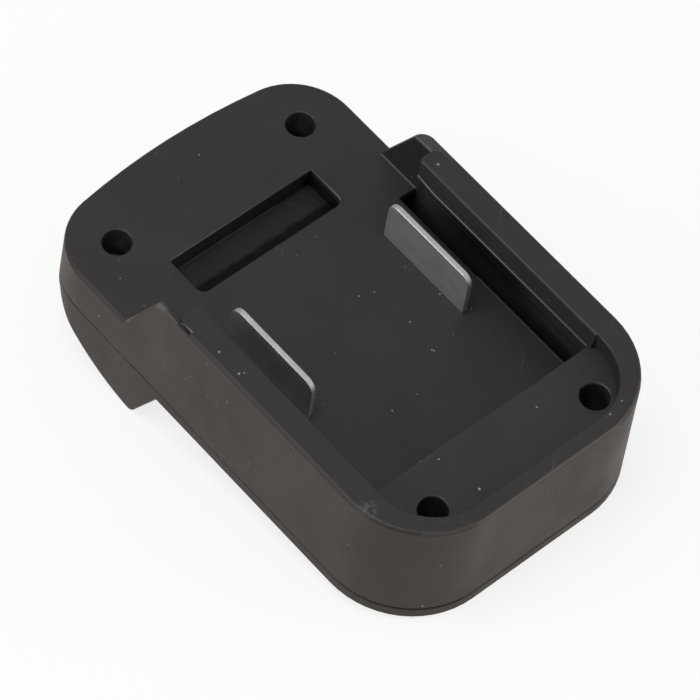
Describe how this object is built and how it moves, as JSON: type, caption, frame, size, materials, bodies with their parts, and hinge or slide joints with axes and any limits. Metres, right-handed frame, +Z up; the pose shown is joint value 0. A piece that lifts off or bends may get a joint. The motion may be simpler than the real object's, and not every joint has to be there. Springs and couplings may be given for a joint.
{
  "type": "tool battery adapter",
  "caption": "Slide-on battery receiver for a cordless tool: moulded tray with undercut side rails, upright terminal blades, a latch pocket and a screwed bottom cover with a heel.",
  "frame": {"origin": "on the tray floor, midway between the terminal blades, at the middle of their length", "axes": "+Y the way the battery slides off towards the open front end, +Z up out of the tray floor, +X across the rails"},
  "size_m": [0.068, 0.1078, 0.039],
  "materials": {
    "housing_plastic": "fine satin moulded grain, black",
    "cover_plastic": "fine satin moulded grain, black",
    "contact_metal": "plated sheet metal with bright sheared edges",
    "screw_steel": "dull zinc plate"
  },
  "bodies": {
    "root": {"top_housing": "housing_plastic", "bottom_cover": "cover_plastic", "left_terminal_blade": "contact_metal", "right_terminal_blade": "contact_metal", "case_screws": "screw_steel"}
  },
  "joints": []
}
